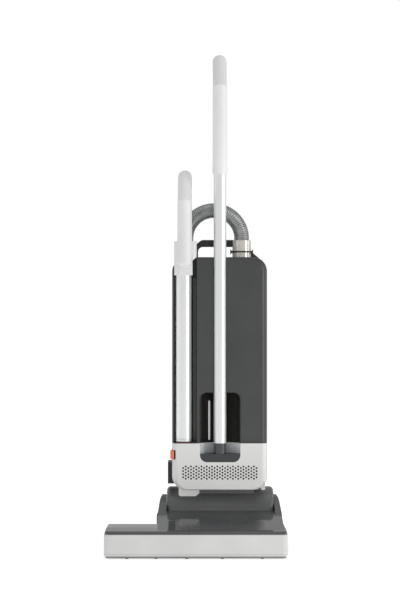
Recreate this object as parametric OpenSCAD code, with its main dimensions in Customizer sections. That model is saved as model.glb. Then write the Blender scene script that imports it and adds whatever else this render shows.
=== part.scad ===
// Upright commercial vacuum cleaner with an offset power head, a tilting body,
// a lift-out wand and a ribbed suction hose. Millimetres, +Z up, floor at Z = 0,
// +Y towards the rear, X = 0 on the power head's centre line.

/* [Power head] */
// Width over the bumper
head_w = 452; // [440:1:460]
// Depth from the bumper's front to the back of the rear wheels
head_d = 330; // [328:1:336]
// Top edge of the bumper
bumper_top = 60; // [58:1:62]
// Flat top of the low wing
wing_top = 72; // [70:1:74]
// Top of the sloping deck where it meets the swivel housing
ramp_top = 97; // [95:1:99]
// Diameter of the rear wheels
wheel_d = 76; // [70:1:80]

/* [Brush] */
// Diameter over the bristle tips
brush_d = 56; // [52:1:56]
// Tufts in each of the two helical rows
tufts_per_row = 24; // [12:1:30]

/* [Tilting body] */
// Width of the body
body_w = 242; // [238:1:246]
// Centre line of the body, off the head's centre
body_x = 60; // [58:1:62]
// Height of the axis that the body tilts about
tilt_z = 87; // [86:1:88]
// Radius of the swivel housing
swivel_r = 65; // [63:1:65]
// Underside of the base
base_bottom = 151; // [151:1:152]
// Joint between the light base and the dark upper housing
base_top = 270; // [268:1:272]
// Top of the upper housing
body_top = 741; // [730:1:750]
// Corner radius of the upper housing
shoulder_r = 35; // [25:1:40]

/* [Exhaust grille] */
// Diameter of one hole
hole_d = 4.8; // [3.5:0.1:5]
// Columns of holes
grille_columns = 29; // [15:2:29]
// Distance between neighbouring columns
column_pitch = 6.65; // [6.2:0.05:6.65]
// Distance between the holes in a column
row_pitch = 7.8; // [7.4:0.1:7.8]

/* [Handle and wand] */
// Diameter of the handle tube
handle_d = 32; // [30:1:32]
// Height where the handle bends back
handle_bend_z = 1173; // [1120:1:1190]
// Diameter of the wand tube
wand_d = 41; // [38:1:41]
// Height where the wand's grip bends back
wand_bend_z = 880; // [870:1:890]
// Angle that both grips lean back
grip_lean = 45; // [35:1:50]

/* [Suction hose] */
// Outside diameter over the ribs
hose_d = 39; // [36:1:39]
// Bore of the hose
hose_bore = 32; // [28:1:33]
// Ribs along the hose
hose_ribs = 88; // [60:1:120]

/* [Hidden] */
$fn = 72;

fit = 0.05;   // radial running clearance of a shaft
gap = 0.3;    // clearance between parts that only pass each other
wall = 3;     // wall of the large mouldings

// Colours of the mouldings and metals
light_grey = "#d6d6d5";
pale_grey = "#dadcdb";
dark_grey = "#4b4c4c";
gloss_grey = "#5a5b5c";
black = "#1e1f20";
aluminium = "#dfe1e5";
steel = "#a9acb0";
rubber = "#2a2a2b";
orange_red = "#e0664a";

// Depth of each feature, measured back from the bumper's front face
front = -head_d / 2;
brush_y = front + 65;
deck_y = front + 20;
motor_y = front + 133;
body_front = front + 150;
base_step = front + 165;
tube_y = front + 167;
grip_y = front + 160;
wand_y = front + 178;
hose_y = front + 205;
cover_back = front + 205;
tilt_y = front + 235;
housing_back = front + 283;
body_back = front + 290;
wheel_y = head_d / 2 - wheel_d / 2;
block_back = front + 118;
cradle_back = front + 251;
neck_y = front + 188;
carry_y = [front + 250, front + 276];

// Power head
brush_z = brush_d / 2 + 1;
tunnel_r = brush_d / 2 + 3;
tunnel_roof = 2.5;
brush_x = [-200, 178];
brush_shaft_r = 5;
core_r = 16;
pulley_x = [182, 194];
brush_pulley_r = 14;
motor_pulley_r = 9;
belt_t = 2.4;
belt_gap = 0.4;
motor_z = 45;
motor_r = 25;
motor_x = [62, 168];
motor_shaft_r = 4;
bumper_t = 6;
bumper_low = 7;
bumper_r = 14;
sole_z = 2.2;
sole_t = 4.8;
arm_t = 5;
cheek_r = 45;
pin_r = 8;
pin_x = 14;
wheel_w = 16;
hub_r = wheel_d / 2 - 8;
axle_r = 4;
cover_t = 3;

// Tilting body
left = body_x - body_w / 2;
right = body_x + body_w / 2;
base_r = 36;
swivel_left = body_x - 135;
swivel_right = body_x + 139;
swivel_wall = 5;
hub_t = 14;
cheek_gap = 1;
cheek_left = swivel_left - cheek_gap;
cheek_right = swivel_right + cheek_gap;
cheek_x = [body_x - 157, body_x + 157];
arm_x = [cheek_x[0] + 11, cheek_x[1] - 11 - arm_t];
arch_r = wheel_d / 2 + 3;
neck_x = [-44.7, 8.3];
motor_cx = body_x + 40;
motor_cy = front + 241;
button_box = [left - 4.5, body_front + 2, 230];
button_size = [10, 26, 22];
button_travel = 3;

// Recess behind the handle tube and the socket that carries the tube
handle_x = body_x + 1;
niche = [10, 112.5];
niche_top = 398;
niche_r = 57;
niche_y = front + 135;
niche_ledge = 243;
socket_bottom = 222.6;
socket_depth = 45;
screw_x = [23, 98];
screw_z = 234.8;
groove_bottom = niche_top - 30;
cover_front = body_front + 11;
cover_left = 2.2;
cover_edge = 9;

// Wand and hose
wand_x = -31.4;
trough_r = 23.6;
trough_front = wand_y - 5;
trough_floor = base_top + 1.6;
seal_t = 1.2;
hose_left = -26;
hose_right = 117;
hose_r = (hose_right - hose_left) / 2;
hose_x = (hose_right + hose_left) / 2;
hose_bend_z = 792;
hose_end_z = 744;
hose_straight = hose_bend_z - hose_end_z;
hose_length = 2 * hose_straight + PI * hose_r;
socket_r = hose_d / 2 + gap;
collar_x = [-56.2, 1.9];
collar_z = [697, 784];
tube_end = 736;
connector_top = 787;
connector_r = 23.9;
sleeve_foot = 733;
sleeve_r = 19.1;
grip_r = 18.2;
grip_x = wand_x + 2.6;
dock_r = 15;

// Rear
door = [-52, 172];
door_z = [285, 715];
door_t = 7;
door_knuckles = [-30, 110];
knuckle_r = 4.5;
knuckle_y = housing_back + 4.8;
knuckle_pin_r = 2;
hook_y = front + 325;
hook_z = 728;
hook_pivot_r = 4;
gland_x = -20;
gland_r = 4.5;
switch_x = 140;
rear_z = 240;

// ---------- Helpers ----------

// Extrudes a Y-Z outline along X
module along_x(x0, x1)
  translate([x0, 0, 0]) rotate([90, 0, 90]) linear_extrude(x1 - x0) children();

// Extrudes an X-Z outline along Y
module along_y(y0, y1)
  translate([0, y1, 0]) rotate([90, 0, 0]) linear_extrude(y1 - y0) children();

// Extrudes an X-Y outline along Z
module along_z(z0, z1)
  translate([0, 0, z0]) linear_extrude(z1 - z0) children();

module rod_x(x0, x1, r, y, z)
  translate([x0, y, z]) rotate([0, 90, 0]) cylinder(h = x1 - x0, r = r);

module rod_y(y0, y1, r, x, z)
  translate([x, y1, z]) rotate([90, 0, 0]) cylinder(h = y1 - y0, r = r);

module rod_z(z0, z1, r, x, y)
  translate([x, y, z0]) cylinder(h = z1 - z0, r = r);

// Rectangle with one radius for its low corners and one for its high corners
module panel(a0, a1, b0, b1, low_r = 0, high_r = 0) {
  translate([a0, b0 + low_r]) square([a1 - a0, b1 - b0 - low_r - high_r]);
  if (low_r > 0) {
    translate([a0 + low_r, b0]) square([a1 - a0 - 2 * low_r, low_r]);
    for (a = [a0 + low_r, a1 - low_r]) translate([a, b0 + low_r]) circle(low_r);
  }
  if (high_r > 0) {
    translate([a0 + high_r, b1 - high_r]) square([a1 - a0 - 2 * high_r, high_r]);
    for (a = [a0 + high_r, a1 - high_r]) translate([a, b1 - high_r]) circle(high_r);
  }
}

// Angle at which the common tangent of two circles touches both
function tangent_turn(c1, r1, c2, r2) = acos((r1 - r2) / norm(c2 - c1));
function heading(c1, c2) = atan2(c2.y - c1.y, c2.x - c1.x);
function on_circle(c, r, a) = c + r * [cos(a), sin(a)];
function arc(c, r, a0, a1, n = 12) = [for (i = [0 : n]) on_circle(c, r, a0 + (a1 - a0) * i / n)];

// Two circles joined by lines a hair inside their outer tangents: the outline of an arm
module link(c1, r1, c2, r2) {
  turn = tangent_turn(c1, r1, c2, r2);
  way = heading(c1, c2);
  hair = 0.02;
  translate(c1) circle(r1);
  translate(c2) circle(r2);
  polygon([on_circle(c1, r1 - hair, way + turn), on_circle(c2, r2 - hair, way + turn),
           on_circle(c2, r2 - hair, way - turn), on_circle(c1, r1 - hair, way - turn)]);
}

// ---------- Power head ----------

// Bottom plate with the mouth that the brush reaches through
module sole_plate() color("#8c8b8b")
  difference() {
    union() {
      along_z(sole_z, sole_z + sole_t)
        panel(-head_w / 2 + 4, head_w / 2 - 4, front + 4, block_back - 2, 10, 4);
      translate([cheek_x[0] + 4, block_back - 3, sole_z])
        cube([cheek_x[1] - cheek_x[0] - 8, 80, sole_t]);
    }
    translate([brush_x[0], brush_y - tunnel_r, 0])
      cube([brush_x[1] - brush_x[0] + 4, 2 * tunnel_r, 20]);
  }

// Section of the bumper: rounded top edge and a narrow lip line near the foot
module bumper_section()
  difference() {
    union() {
      translate([0, bumper_low]) square([bumper_t, bumper_top - bumper_low - 3]);
      translate([0, bumper_low]) square([bumper_t - 3, bumper_top - bumper_low]);
      translate([bumper_t - 3, bumper_top - 3]) circle(3);
    }
    translate([bumper_t - 1, 10.8]) square([2, 1]);
  }

// One straight run of the bumper, from its start along the direction `turn`
module bumper_run(start, turn, length)
  translate([start.x, start.y, 0]) rotate([0, 0, turn]) rotate([90, 0, 90])
    linear_extrude(length) mirror([1, 0]) bumper_section();

// Soft band round the front and both ends of the head
module front_bumper() color(light_grey) {
  inner_r = bumper_r - bumper_t;
  x = head_w / 2 - bumper_t;
  y = front + bumper_t;
  bumper_run([-x + inner_r, y], 0, 2 * (x - inner_r));
  bumper_run([x, y + inner_r], 90, block_back - y - inner_r);
  bumper_run([-x, block_back], -90, block_back - y - inner_r);
  for (side = [-1, 1]) translate([side * (x - inner_r), y + inner_r, 0])
    rotate([0, 0, side < 0 ? 180 : 270]) rotate_extrude(angle = 90)
      translate([inner_r, 0]) bumper_section();
}

// Outline of the drive belt's run, `grow` outside the pulleys
module belt_line(grow) {
  c1 = [brush_y, brush_z];
  c2 = [motor_y, motor_z];
  way = heading(c1, c2);
  turn = tangent_turn(c1, brush_pulley_r, c2, motor_pulley_r);
  polygon(concat(arc(c1, brush_pulley_r + grow, way + turn, way + 360 - turn),
                 arc(c2, motor_pulley_r + grow, way - turn, way + turn)));
}

// Structural moulding: brush tunnel, motor bay, cradle and the arms of the wheels
module head_chassis() color(dark_grey)
  difference() {
    union() {
      along_z(bumper_low, bumper_top)
        panel(-head_w / 2 + bumper_t, head_w / 2 - bumper_t, front + bumper_t, block_back,
              bumper_r - bumper_t, 3);
      rod_x(brush_x[0] - 3, 200, tunnel_r + tunnel_roof, brush_y, brush_z);
      translate([cheek_x[0], block_back - 1, bumper_low])
        cube([cheek_x[1] - cheek_x[0], cradle_back - block_back + 1, bumper_top - bumper_low]);
      for (x = arm_x) along_x(x, x + arm_t)
        link([tilt_y, 38], 21, [wheel_y, wheel_d / 2], 14);
    }
    // brush tunnel, open below
    rod_x(brush_x[0], brush_x[1] + 4, tunnel_r, brush_y, brush_z);
    translate([brush_x[0], brush_y - tunnel_r, -1])
      cube([brush_x[1] + 4 - brush_x[0], 2 * tunnel_r, brush_z + 1]);
    translate([-head_w / 2, front, -head_w + bumper_low]) cube([head_w, head_d, head_w]);
    // belt case and motor bay
    along_x(pulley_x[0] - 2, pulley_x[1] + 4) belt_line(belt_t + 3);
    along_x(motor_x[0] - 4, pulley_x[0] - 1) translate([motor_y - 28, 16]) square([56, 60]);
    // seats of the brush bearings
    rod_x(brush_x[0] - 9, brush_x[0] + 1, 11, brush_y, brush_z);
    rod_x(pulley_x[1] + 3, pulley_x[1] + 13, 11, brush_y, brush_z);
    // room for the swivel housing
    rod_x(cheek_left, cheek_right, swivel_r + 1.5, tilt_y, tilt_z);
    for (x = arm_x) rod_x(x - 1, x + arm_t + 1, axle_r, wheel_y, wheel_d / 2);
    wheel_arches();
  }

// Room for the wheels outside the arms
module wheel_arches() {
  rod_x(cheek_x[0] - 1, arm_x[0], arch_r, wheel_y, wheel_d / 2);
  rod_x(arm_x[1] + arm_t, cheek_x[1] + 1, arch_r, wheel_y, wheel_d / 2);
}

// Side view of the head's top skin, set in by `inset`
module deck_profile(inset)
  polygon([[front + 1.5 + inset, bumper_top], [front + 6 + inset, wing_top - 4.5 - inset],
           [deck_y + 40, wing_top - inset], [block_back - 8, wing_top - inset],
           [block_back - inset, wing_top - 6 - inset], [block_back - inset, bumper_top]]);

// Side view of the sloping centre deck
module ramp_profile(inset)
  polygon([[front + 8, bumper_top], [deck_y + inset, wing_top - 3 - inset],
           [tilt_y - 66, ramp_top - inset], [tilt_y - 40, ramp_top - inset],
           [tilt_y - 30, bumper_top]]);

// Glossy top cover with the deck, and the two cheeks that hold the swivel housing
module head_cover() color(gloss_grey)
  difference() {
    union() {
      intersection() {
        along_x(-head_w / 2, head_w / 2) deck_profile(0);
        along_z(bumper_top, wing_top + 1)
          panel(-head_w / 2 + 1.5, head_w / 2 - 1.5, front + 1.5, block_back, bumper_r - 2, 4);
        along_y(front, block_back)
          polygon([[-head_w / 2 + 1, bumper_top], [-head_w / 2 + 4, wing_top - 2],
                   [-head_w / 2 + 8, wing_top + 1], [head_w / 2 - 8, wing_top + 1],
                   [head_w / 2 - 4, wing_top - 2], [head_w / 2 - 1, bumper_top]]);
      }
      intersection() {
        along_x(cheek_x[0], cheek_x[1]) ramp_profile(0);
        along_z(bumper_top, ramp_top)
          polygon([[cheek_x[0] + 4, front], [cheek_x[1], front], [cheek_x[1], tilt_y],
                   [cheek_x[0], tilt_y], [cheek_x[0], tilt_y - 112]]);
      }
      cheeks();
    }
    // hollow under the skin
    along_x(-head_w / 2 + 10, head_w / 2 - 10) translate([0, -1]) deck_profile(cover_t);
    along_x(cheek_x[0] + 4 + cover_t, cheek_x[1] - cover_t) translate([0, -1]) difference() {
      ramp_profile(cover_t);
      translate([tilt_y - 70, 0]) square(200);
    }
    rod_x(cheek_left, cheek_right, swivel_r + 1.5, tilt_y, tilt_z);
    translate([cheek_left, tilt_y, bumper_top - 1]) cube([cheek_right - cheek_left, 80, 90]);
    rod_x(cheek_x[0] + 3, cheek_left + 1, pin_r, tilt_y, tilt_z);
    rod_x(cheek_right - 1, cheek_x[1] - 3, pin_r, tilt_y, tilt_z);
    wheel_arches();
  }

// Rounded side cheeks, with a tangent run down to the deck
module cheeks()
  intersection() {
    union() for (x = [[cheek_x[0], cheek_left], [cheek_right, cheek_x[1]]]) along_x(x[0], x[1])
      intersection() {
        link([tilt_y, tilt_z], cheek_r, [tilt_y - 92, 76], 20);
        translate([front, bumper_top]) square([head_d, 200]);
      }
    along_y(front, head_d)
      panel(cheek_x[0], cheek_x[1], bumper_top, tilt_z + cheek_r + 0.5, 0, 14);
  }

// Five small nylon glides under the front edge
module glide_feet() color(black)
  for (x = [-169, -98, -22, 65, 163]) along_x(x - 3.5, x + 3.5)
    polygon([[front + 5, sole_z], [front + 8, 0], [front + 18, 0], [front + 21, sole_z]]);

// Bearings at both ends of the brush
module brush_bearings() color(steel)
  for (x = [brush_x[0] - 9, pulley_x[1] + 3.5]) difference() {
    rod_x(x, x + 8, 11, brush_y, brush_z);
    rod_x(x - 1, x + 9, brush_shaft_r + fit, brush_y, brush_z);
  }

// Roller body with its shaft
module brush_core() color(black) {
  rod_x(brush_x[0] + 2, brush_x[1], core_r, brush_y, brush_z);
  rod_x(brush_x[0] - 8, pulley_x[1] + 11, brush_shaft_r, brush_y, brush_z);
}

// Two helical rows of nylon tufts, each tuft a short radial bundle
module brush_tufts() color("#303234")
  for (row = [0, 1], i = [0 : tufts_per_row - 1]) {
    step = (brush_x[1] - brush_x[0] - 24) / (tufts_per_row - 1);
    translate([brush_x[0] + 14 + i * step, brush_y, brush_z])
      rotate([row * 180 + 15 + i * 300 / tufts_per_row, 0, 0])
        translate([0, 0, core_r - 2]) cylinder(h = brush_d / 2 - core_r + 2, r = 4, $fn = 24);
  }

// Toothless view of a belt pulley with two rims
module pulley(r) {
  rod_x(0, 12, r, 0, 0);
  for (x = [0, 11]) rod_x(x, x + 1, r + 1.4, 0, 0);
}

module brush_pulley() color(steel)
  translate([pulley_x[0], brush_y, brush_z]) difference() {
    pulley(brush_pulley_r);
    rod_x(-1, 13, brush_shaft_r, 0, 0);
  }

// Motor can of the brush drive
module brush_motor() color(steel)
  difference() {
    union() {
      rod_x(motor_x[0], motor_x[1], motor_r, motor_y, motor_z);
      rod_x(motor_x[1], motor_x[1] + 6, 10, motor_y, motor_z);
    }
    rod_x(motor_x[1] - 40, motor_x[1] + 7, motor_shaft_r + fit, motor_y, motor_z);
  }

module motor_shaft() color(aluminium)
  rod_x(motor_x[1] - 39, pulley_x[1] + 1, motor_shaft_r, motor_y, motor_z);

module motor_pulley() color(steel)
  translate([pulley_x[0], motor_y, motor_z]) difference() {
    pulley(motor_pulley_r);
    rod_x(-1, 13, motor_shaft_r, 0, 0);
  }

// Flat belt from the motor to the brush
module drive_belt() color(rubber)
  along_x(pulley_x[0] + 1.6, pulley_x[1] - 1.6) difference() {
    belt_line(belt_gap + belt_t);
    belt_line(belt_gap);
  }

// Fixed pins that the swivel housing turns on
module hinge_pins() color(steel) {
  rod_x(cheek_x[0] + 3, cheek_left + pin_x, pin_r, tilt_y, tilt_z);
  rod_x(cheek_right - pin_x, cheek_x[1] - 3, pin_r, tilt_y, tilt_z);
}

// Stub axles of the rear wheels, with a retaining head outside each wheel
module wheel_axles() color(steel)
  for (side = [-1, 1]) translate([side < 0 ? arm_x[0] + arm_t : arm_x[1], wheel_y, wheel_d / 2])
    mirror([side < 0 ? 1 : 0, 0, 0]) {
      rod_x(0, arm_t + wheel_w + 2.5, axle_r, 0, 0);
      rod_x(arm_t + wheel_w + 1.4, arm_t + wheel_w + 2.5, 7, 0, 0);
    }

// Wheel centre with a rim, a web and a hub; x runs outwards from the arm
module wheel_hub() color(dark_grey)
  difference() {
    rod_x(0, wheel_w, hub_r, 0, 0);
    for (x = [-1, wheel_w - 4]) difference() {
      rod_x(x, x + 5, hub_r - 4, 0, 0);
      rod_x(x - 1, x + 6, 9, 0, 0);
    }
    for (a = [0 : 60 : 300]) rotate([a, 0, 0]) rod_x(-1, wheel_w + 1, 5, 17.5, 0);
    rod_x(-1, wheel_w + 1, axle_r + fit, 0, 0);
  }

// Rubber tyre with rounded edges
module wheel_tyre() color(rubber)
  rotate([0, 90, 0]) rotate_extrude() difference() {
    translate([0, 0]) panel(hub_r, wheel_d / 2, 0, wheel_w);
    for (z = [0, wheel_w]) translate([wheel_d / 2, z]) difference() {
      square(6, center = true);
      translate([-3, z > 0 ? -3 : 3]) circle(3);
    }
  }

module at_wheel(side)
  translate([side < 0 ? arm_x[0] - 1 : arm_x[1] + arm_t + 1, wheel_y, wheel_d / 2])
    mirror([side < 0 ? 1 : 0, 0, 0]) children();

module wheel_hub_left() at_wheel(-1) wheel_hub();
module wheel_tyre_left() at_wheel(-1) wheel_tyre();
module wheel_hub_right() at_wheel(1) wheel_hub();
module wheel_tyre_right() at_wheel(1) wheel_tyre();

// ---------- Base of the tilting body ----------

// Half section of the swivel housing about its own axis, from end to end
module swivel_section(r, x0, x1, corner) rotate([0, 0, 90]) mirror([0, 1])
  intersection() {
    panel(x0, x1, -r, r, corner, corner);
    translate([x0, 0]) square([x1 - x0, r]);
  }

// Drum between the cheeks, with a neck that carries the base
module swivel_housing() color(dark_grey)
  difference() {
    union() {
      translate([0, tilt_y, tilt_z]) rotate([0, 90, 0]) rotate_extrude()
        swivel_section(swivel_r, swivel_left, swivel_right, 10);
      difference() {
        translate([left + base_r - 5, body_front + 45, tilt_z + 30])
          cube([body_w - 2 * base_r + 10, 80, base_bottom - tilt_z - 30]);
        airway_box(gap);
      }
    }
    rod_x(swivel_left + hub_t, swivel_right - hub_t, swivel_r - swivel_wall, tilt_y, tilt_z);
    rod_x(swivel_left - 1, swivel_right + 1, pin_r + fit, tilt_y, tilt_z);
    translate([wand_x - 14, tilt_y - 14, tilt_z]) cube([28, 28, base_bottom - tilt_z + 1]);
  }

module airway_box(grow)
  translate([neck_x[0] - grow, neck_y, tilt_z + 20])
    cube([neck_x[1] - neck_x[0] + 2 * grow, 46 + grow, base_bottom - tilt_z - 10]);

// Light moulding that leads the air from the drum up into the base
module airway_neck() color(light_grey)
  difference() {
    intersection() {
      airway_box(0);
      along_y(neck_y, tilt_y) panel(neck_x[0], neck_x[1], 131.5, base_bottom + 20, 7, 0);
      // right edge slants back
      along_z(tilt_z, base_top)
        polygon([[neck_x[0], neck_y], [neck_x[1] - 9, neck_y], [neck_x[1], neck_y + 7],
                 [neck_x[1], tilt_y], [neck_x[0], tilt_y]]);
    }
    along_y(front, head_d) base_outline(0);
    rod_x(neck_x[0] - 1, neck_x[1] + 1, swivel_r + fit, tilt_y, tilt_z);
    translate([wand_x - 14, tilt_y - 14, tilt_z]) cube([28, 28, base_bottom - tilt_z + 1]);
  }

// Front view of the base, `inset` inside its outer face
module base_outline(inset)
  panel(left + inset, right - inset, base_bottom + inset, base_top + inset, base_r - inset, 0);

// Deep rear shell of the base, open at the front
module base_shell() color(light_grey)
  difference() {
    union() {
      intersection() {
        along_y(base_step, body_back) base_outline(0);
        along_z(base_bottom, base_top) panel(left, right, body_front, body_back, 12, 16);
      }
      // foot at the right corner, beside the drum's neck
      along_y(neck_y, neck_y + 6) panel(166, 177, base_bottom - 3, base_bottom + 20, 3, 0);
    }
    intersection() {
      along_y(base_step - 1, body_back - wall) base_outline(wall);
      along_z(base_bottom, base_top + wall)
        panel(left + wall, right - wall, body_front, body_back - wall, 9, 13);
    }
    // seat on the drum, air passage up from it, cable inlet, switch, duct port, button pocket
    rod_x(swivel_left, swivel_right, swivel_r + fit, tilt_y, tilt_z);
    translate([wand_x - 14, tilt_y - 14, base_bottom - 1]) cube([28, 28, wall + 9]);
    rod_y(body_back - wall - 1, body_back + 1, 6, gland_x, rear_z);
    translate([switch_x - 11, body_back - wall - 1, rear_z - 10]) cube([22, wall + 2, 20]);
    translate([left - 1, front + 190, 176]) cube([wall + 5, 40, 36]);
    button_pocket();
  }

// Rows of round holes, alternate columns raised by half a pitch
module grille_holes() {
  first = (niche[0] + niche[1]) / 2 - 0.8 - (grille_columns - 1) / 2 * column_pitch;
  for (i = [0 : grille_columns - 1]) {
    rows = i % 2 == 0 ? 4 : 5;
    for (j = [0 : rows - 1])
      rod_y(body_front - 1, body_front + wall + 1, hole_d / 2, first + i * column_pitch,
            196.2 + (j - (rows - 1) / 2) * row_pitch, $fn = 24);
  }
}

// Perforated front panel of the base, with a ledge on top and a window for the handle socket
module base_front() color(light_grey)
  difference() {
    intersection() {
      along_y(body_front, base_step)
        panel(left + 2, right - 2, base_bottom, base_top, base_r + 2, 0);
      along_z(base_bottom, base_top)
        panel(left + 2, right - 2, body_front, body_back, 10, 0);
    }
    intersection() {
      along_y(body_front + wall, base_step + 1)
        panel(left + 5, right - 5, base_bottom + wall, base_top - wall, base_r - 1, 0);
      along_z(base_bottom, base_top)
        panel(left + 5, right - 5, body_front + wall, body_back, 7, 0);
    }
    along_y(body_front - 1, base_step + 1)
      panel(niche[0], niche[1], socket_bottom, base_top + 10, 18, 0);
    rod_z(base_top - 10, base_top + 1, dock_r, wand_x, wand_y);
    grille_holes();
    button_pocket();
  }

// Pleated filter of carbon fleece right behind the grille
module exhaust_filter() color("#38393b")
  difference() {
    translate([-38, body_front + 4, 172]) cube([196, 17, 47]);
    for (i = [0 : 23]) translate([-31 + i * 8, body_front + 3, 175]) cube([4, 12, 41]);
  }

// Suction motor with its fan housing and a bearing for the fan's shaft
module suction_motor() color(steel)
  difference() {
    union() {
      rod_z(158, 216, 34, motor_cx, motor_cy);
      rod_z(212, 258, 44, motor_cx, motor_cy);
    }
    rod_z(219, 254, 41, motor_cx, motor_cy);
    rod_z(250, 260, 14, motor_cx, motor_cy);
    rod_z(180, 230, motor_shaft_r + fit, motor_cx, motor_cy);
  }

// Fan wheel with curved-back blades on its shaft
module fan_impeller() color(aluminium) {
  rod_z(182, 246, motor_shaft_r, motor_cx, motor_cy);
  rod_z(222, 225, 38, motor_cx, motor_cy);
  rod_z(225, 242, 10, motor_cx, motor_cy);
  for (a = [0 : 40 : 320]) translate([motor_cx, motor_cy, 224]) rotate([0, 0, a])
    translate([9, 0, 0]) rotate([0, 0, -28]) cube([28, 2, 16]);
}

// Circuit board of the speed and brush control
module control_board() color("#2f6b46") {
  translate([left + 16, body_back - 12, 170]) cube([74, 1.6, 46]);
  for (i = [0 : 3]) rod_y(body_back - 24, body_back - 12, 5, left + 26 + i * 17, 195);
}

// Cover of the duct port on the left of the base
module side_duct_cover() color(dark_grey)
  difference() {
    translate([left - 11, front + 182, 165]) cube([20, 58, 55]);
    along_y(front, head_d) base_outline(0);
    for (z = [174 : 9 : 210]) translate([left - 12, front + 190, z]) cube([2, 42, 3]);
  }

// Room that the button slides in, open to the front
module button_pocket()
  translate([button_box.x, body_front - 1, button_box.z - 2 * gap])
    cube([button_size.x + button_travel + 2 * gap,
          button_box.y + button_size.y + 2 * gap - body_front + 1, button_size.z + 4 * gap]);

// Wand release on the left corner of the base, pressed inwards
module release_button() color(orange_red)
  along_y(button_box.y, button_box.y + button_size.y)
    panel(button_box.x, button_box.x + button_size.x, button_box.z,
          button_box.z + button_size.z, 3, 3);

// Curved wall that the recess and the socket share
module recess(z0, z1, top_r)
  intersection() {
    rod_z(z0 - 1, z1 + 1, niche_r, (niche[0] + niche[1]) / 2, niche_y);
    along_y(body_front - 1, body_back) panel(niche[0], niche[1], z0, z1, 0, top_r);
  }

// Dark socket in the base that holds the foot of the handle tube
module handle_socket() color("#565a5c") {
  difference() {
    along_y(body_front, body_front + socket_depth)
      panel(niche[0], niche[1], socket_bottom, base_top, 18, 0);
    recess(niche_ledge, base_top + 1, 0);
    for (x = screw_x) rod_y(body_front - 1, body_front + 14, 2.5, x, screw_z, $fn = 24);
  }
  rod_z(niche_ledge, base_top, handle_d / 2, handle_x, tube_y);
  rod_z(base_top, base_top + 30, handle_d / 2 - 2, handle_x, tube_y);
}

// Two cross-head screws that fix the socket
module socket_screws() color(steel)
  for (x = screw_x) difference() {
    rod_y(body_front + 0.6, body_front + 14, 2.5 - fit, x, screw_z, $fn = 24);
    for (a = [0, 90]) translate([x, body_front + 0.6, screw_z]) rotate([0, a, 0])
      cube([3, 1.4, 0.8], center = true);
  }

// Glossy lining of the recess behind the handle tube
module niche_liner() color(black)
  difference() {
    along_y(cover_front, body_front + socket_depth)
      panel(niche[0] - 2, niche[1] + 2, base_top, niche_top + 2, 0, 20);
    recess(base_top - 1, niche_top, 18);
    tube_groove(groove_bottom, niche_top + 3);
  }

// ---------- Upper housing ----------

// Straight-sided groove that takes the handle tube flush with the cover
module tube_groove(z0, z1) {
  rod_z(z0, z1, handle_d / 2 + gap, handle_x, tube_y);
  translate([handle_x - handle_d / 2 - gap, body_front - 1, z0])
    cube([handle_d + 2 * gap, tube_y - body_front + 1, z1 - z0]);
}

// Front view of the cover, `t` inside its skin and `roll` in from its rolled edges
module cover_face(t, roll) {
  x = right - shoulder_r;
  z = body_top - shoulder_r;
  translate([cover_left + t, base_top - t]) {
    square([x - cover_left - t, body_top - base_top - roll]);
    square([right - cover_left - 2 * t - roll, z - base_top + t]);
  }
  translate([x, z]) circle(shoulder_r - t - roll);
}

// The cover as a solid, `t` inside its skin, with its right and top front edges rolled round
module cover_form(t) {
  r = cover_edge - t;
  x = right - shoulder_r;
  y = cover_front + cover_edge;
  z = body_top - shoulder_r;
  along_y(y, cover_back + t) cover_face(t, 0);
  along_y(cover_front + t, y) cover_face(t, r);
  rod_z(base_top - t, z, r, right - cover_edge, y);
  rod_x(cover_left + t, x, r, y, body_top - cover_edge);
  translate([x, y, z]) rotate([90, 0, 0]) rotate_extrude(angle = 90)
    translate([shoulder_r - cover_edge, 0]) circle(r);
}

// Satin front cover with the recess, and a groove that the handle tube lies in
module front_cover() color(dark_grey)
  difference() {
    cover_form(0);
    difference() {
      cover_form(wall);
      // solid rib behind the handle tube
      translate([handle_x - 21, cover_front, base_top - 10]) cube([42, 32, body_top]);
    }
    along_y(body_front - 1, body_front + socket_depth)
      panel(niche[0] - 2, niche[1] + 2, base_top - 1, niche_top + 2, 0, 20);
    tube_groove(groove_bottom, body_top + 1);
  }

// Back half of the upper housing with the bag chamber and the wand's trough
module rear_housing() color(dark_grey)
  difference() {
    intersection() {
      along_y(body_front, housing_back) panel(left, right, base_top, body_top, 0, shoulder_r);
      union() {
        along_z(base_top, body_top) panel(left, right, cover_back, housing_back);
        along_z(base_top, body_top)
          panel(left, cover_left - 0.5, trough_front, cover_back + 20, 5, 0);
        // floor that the wand stands on
        along_z(base_top, trough_floor)
          panel(left + 3, cover_left - 0.5, body_front + 1, cover_back, 9, 0);
      }
    }
    along_y(cover_back + wall, housing_back - wall)
      panel(left + wall, right - wall, base_top + wall, body_top - wall, 0, shoulder_r - wall);
    along_y(housing_back - wall - 1, housing_back + 1)
      panel(door[0] + 6, door[1] - 6, door_z[0] + 6, door_z[1] - 6, 18, 18);
    // trough, open to the front, with its right wall set back
    rod_z(trough_floor, body_top + 1, trough_r, wand_x, wand_y);
    translate([wand_x - trough_r, body_front - 1, trough_floor])
      cube([2 * trough_r, wand_y - body_front + 1, body_top - base_top]);
    translate([wand_x, body_front - 1, trough_floor]) cube([60, 34, body_top - base_top]);
    rod_z(base_top - 1, base_top + 10, dock_r, wand_x, wand_y);
    // pocket of the wand's collar
    translate([collar_x[0] - gap, body_front - 1, collar_z[0] - 7])
      cube([collar_x[1] - collar_x[0] + 2 * gap, wand_y - body_front + 25, body_top]);
    // inlet of the suction motor
    rod_z(base_top - 1, base_top + wall + 1, 28, motor_cx, motor_cy);
    // pivot seat of the upper cable hook
    rod_y(housing_back - 20, housing_back + 1, hook_pivot_r + fit, body_x, hook_z);
  }

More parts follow.
